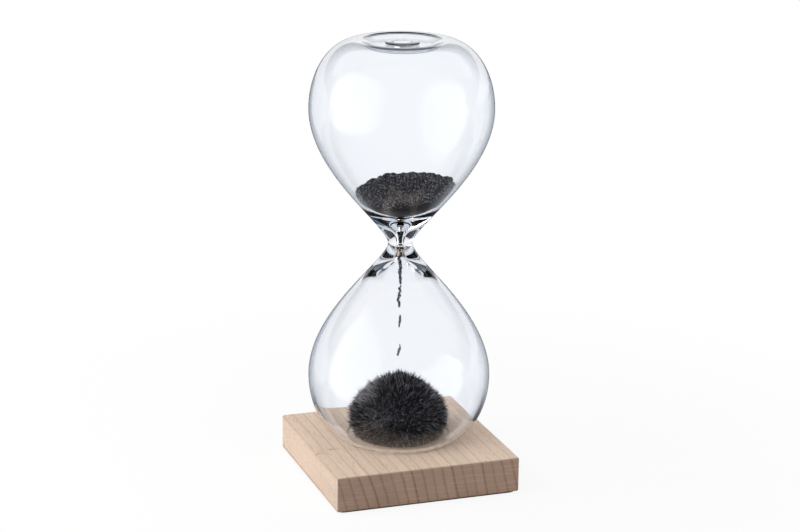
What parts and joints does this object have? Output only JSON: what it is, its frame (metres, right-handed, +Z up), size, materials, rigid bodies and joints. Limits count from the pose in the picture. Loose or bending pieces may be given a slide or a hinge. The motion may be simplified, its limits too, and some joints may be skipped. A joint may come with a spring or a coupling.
{
  "type": "magnetic hourglass",
  "caption": "Sealed glass timer of black iron filings on a square wooden block; a magnet in the block draws the fallen filings up into a spiky heap.",
  "frame": {"origin": "middle of the underside of the base, on the table", "axes": "+Z up along the glass's axis, -Y towards the front, which shows end grain, +X to the right"},
  "size_m": [0.08, 0.08, 0.1877],
  "materials": {
    "wood": "pale beech, sanded and unvarnished, end grain on two faces",
    "felt": "thin dark felt",
    "magnet": "sintered ferrite, dull dark grey",
    "glass": "clear blown glass",
    "filings": "loose black iron filings"
  },
  "bodies": {
    "base": {"wood_base": "wood", "magnet_disc": "magnet", "base_pad": "felt"},
    "turning_point": {"throat_filings": "filings"},
    "glass": {"glass_vessel": "glass", "fill_seal": "glass", "upper_filings": "filings", "filings_heap": "filings"},
    "stream": {"falling_filings_1": "filings", "falling_filings_2": "filings", "falling_filings_3": "filings", "falling_filings_4": "filings"}
  },
  "joints": [
    {"name": "glass_lift", "type": "slide", "parent": "base", "child": "turning_point", "axis": [0, 0, 1], "range_m": [0, 0.15]},
    {"name": "glass_turn", "type": "hinge", "parent": "turning_point", "child": "glass", "pos_m": [0, 0, 0.1015], "axis": [1, 0, 0], "range_deg": [0, 180]},
    {"name": "stream_fall", "type": "slide", "parent": "glass", "child": "stream", "axis": [0, 0, -1], "range_m": [0, 0.003]}
  ],
  "couplings": [
    {"joint": "glass_turn", "follows": "glass_lift", "rad_per_m": 20.944}
  ]
}
